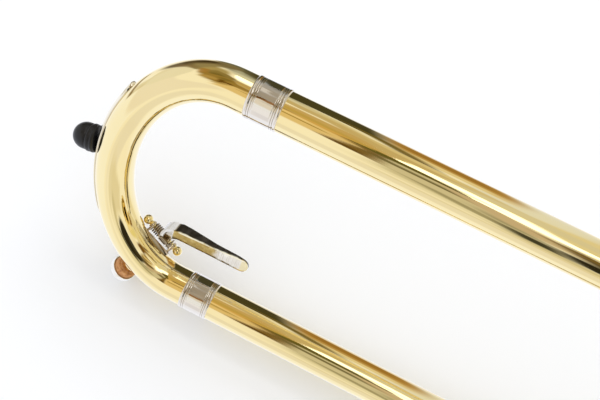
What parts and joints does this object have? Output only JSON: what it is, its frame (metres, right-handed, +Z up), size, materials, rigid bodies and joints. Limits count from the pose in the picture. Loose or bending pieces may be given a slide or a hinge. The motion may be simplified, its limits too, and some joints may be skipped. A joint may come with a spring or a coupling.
{
  "type": "tenor bass trombone",
  "caption": "Slide trombone with a rotary valve and looped F tubing, lying on its bell rim; hand slide, water key, tuning slides and thumb lever move.",
  "frame": {"origin": "centre of the bounding box at the surface that the instrument lies on", "axes": "+X from the slide bow towards the mouthpiece end, +Y away from the bell, +Z up"},
  "size_m": [1.1822, 0.3226, 0.22],
  "materials": {
    "lacquered_brass": "clear lacquer, polished",
    "nickel_silver": "polished nickel silver",
    "black_rubber": "matte moulded",
    "cork": "raw cork",
    "silver_plate": "polished silver plate"
  },
  "bodies": {
    "inner_slide": {"inner_tube_lower": "nickel_silver", "inner_tube_upper": "nickel_silver", "cork_barrel_lower": "nickel_silver", "cork_barrel_upper": "nickel_silver", "barrel_cork_lower": "cork", "barrel_cork_upper": "cork", "leadpipe": "lacquered_brass", "mouthpiece_receiver": "nickel_silver", "slide_tenon": "nickel_silver", "inner_brace": "nickel_silver"},
    "outer_slide": {"slide_bow": "lacquered_brass", "bow_guard": "nickel_silver", "rubber_bumper": "black_rubber", "bow_ferrule_lower": "nickel_silver", "bow_ferrule_upper": "nickel_silver", "outer_tube_lower": "lacquered_brass", "outer_tube_upper": "lacquered_brass", "outer_sleeve_lower": "nickel_silver", "outer_sleeve_upper": "nickel_silver", "outer_brace": "nickel_silver", "water_nipple": "lacquered_brass", "water_key_saddle": "nickel_silver", "key_screw_front": "lacquered_brass", "key_screw_rear": "lacquered_brass", "water_key_spring": "nickel_silver"},
    "water_key": {"water_key_lever": "nickel_silver", "water_key_cork": "cork"},
    "slide_lock": {"slide_lock_ring": "nickel_silver"},
    "mouthpiece": {"mouthpiece": "silver_plate"},
    "lock_nut": {"lock_nut": "lacquered_brass"},
    "bell_section": {"bell": "lacquered_brass", "bell_brace": "nickel_silver", "bell_receiver": "nickel_silver", "neckpipe": "lacquered_brass", "gooseneck": "lacquered_brass", "rotor_casing": "lacquered_brass", "rotor_bearing_plate": "lacquered_brass", "rotor_cap": "nickel_silver", "stop_cork_rest": "black_rubber", "stop_cork_thrown": "black_rubber", "tuning_sleeve_valve_side": "nickel_silver", "tuning_sleeve_bell_side": "nickel_silver", "f_entry_tube": "lacquered_brass", "f_crossover_front": "lacquered_brass", "f_crossover_rear": "lacquered_brass", "f_slide_sleeve_inner": "nickel_silver", "f_slide_sleeve_outer": "nickel_silver", "f_brace_valve_side": "nickel_silver", "f_brace_bell_side": "nickel_silver", "lever_saddle": "lacquered_brass", "lever_pivot_screw": "nickel_silver"},
    "main_tuning_slide": {"tuning_crook": "lacquered_brass", "tuning_leg_valve_side": "nickel_silver", "tuning_leg_bell_side": "nickel_silver", "tuning_brace": "nickel_silver"},
    "f_tuning_slide": {"f_tuning_slide": "lacquered_brass"},
    "rotor": {"rotor": "lacquered_brass", "stop_arm": "nickel_silver"},
    "thumb_lever": {"thumb_lever": "nickel_silver"},
    "linkage_rod": {"linkage_rod": "nickel_silver"}
  },
  "joints": [
    {"name": "hand_slide", "type": "slide", "parent": "inner_slide", "child": "outer_slide", "axis": [-0.9999, 0, -0.0169], "range_m": [0, 0.6]},
    {"name": "water_key", "type": "hinge", "parent": "outer_slide", "child": "water_key", "pos_m": [-0.54882, 0.10516, 0.01924], "axis": [0.8837, -0.2579, -0.3905], "range_deg": [0, 20], "stiffness_Nm_per_rad": 0.03, "springref_deg": -28.65},
    {"name": "slide_lock", "type": "hinge", "parent": "inner_slide", "child": "slide_lock", "pos_m": [0.09306, 0.14179, 0.10074], "axis": [-0.9999, 0, -0.0169], "range_deg": [0, 47]},
    {"name": "mouthpiece_shank", "type": "slide", "parent": "inner_slide", "child": "mouthpiece", "axis": [0.9999, 0, 0.0169], "range_m": [0, 0.03]},
    {"name": "lock_nut", "type": "hinge", "parent": "inner_slide", "child": "lock_nut", "pos_m": [0.19737, 0.09214, 0.02445], "axis": [0.9999, 0, 0.0169], "range_deg": [0, 720]},
    {"name": "bell_angle", "type": "hinge", "parent": "inner_slide", "child": "bell_section", "pos_m": [0.21437, 0.09214, 0.02474], "axis": [0.9999, 0, 0.0169], "range_deg": [-15, 15]},
    {"name": "main_tuning_slide", "type": "slide", "parent": "bell_section", "child": "main_tuning_slide", "axis": [0.9999, 0, 0.0169], "range_m": [0, 0.055]},
    {"name": "f_tuning_slide", "type": "slide", "parent": "bell_section", "child": "f_tuning_slide", "axis": [0.9999, 0, 0.0169], "range_m": [0, 0.055]},
    {"name": "thumb_lever", "type": "hinge", "parent": "bell_section", "child": "thumb_lever", "pos_m": [0.2507, 0.08111, 0.00522], "axis": [0.0143, -0.5368, -0.8436], "range_deg": [0, 24], "stiffness_Nm_per_rad": 0.15, "springref_deg": -22.92},
    {"name": "rotor", "type": "hinge", "parent": "bell_section", "child": "rotor", "pos_m": [0.30414, 0.07231, 0.03887], "axis": [0.0143, -0.5368, -0.8436], "range_deg": [0, 90]},
    {"name": "linkage_rod", "type": "hinge", "parent": "thumb_lever", "child": "linkage_rod", "pos_m": [0.25754, 0.05031, 0.01889], "axis": [0.0143, -0.5368, -0.8436], "range_deg": [-24, 0]}
  ],
  "couplings": [
    {"joint": "rotor", "follows": "thumb_lever", "ratio": 3.75},
    {"joint": "linkage_rod", "follows": "thumb_lever", "ratio": -1}
  ]
}
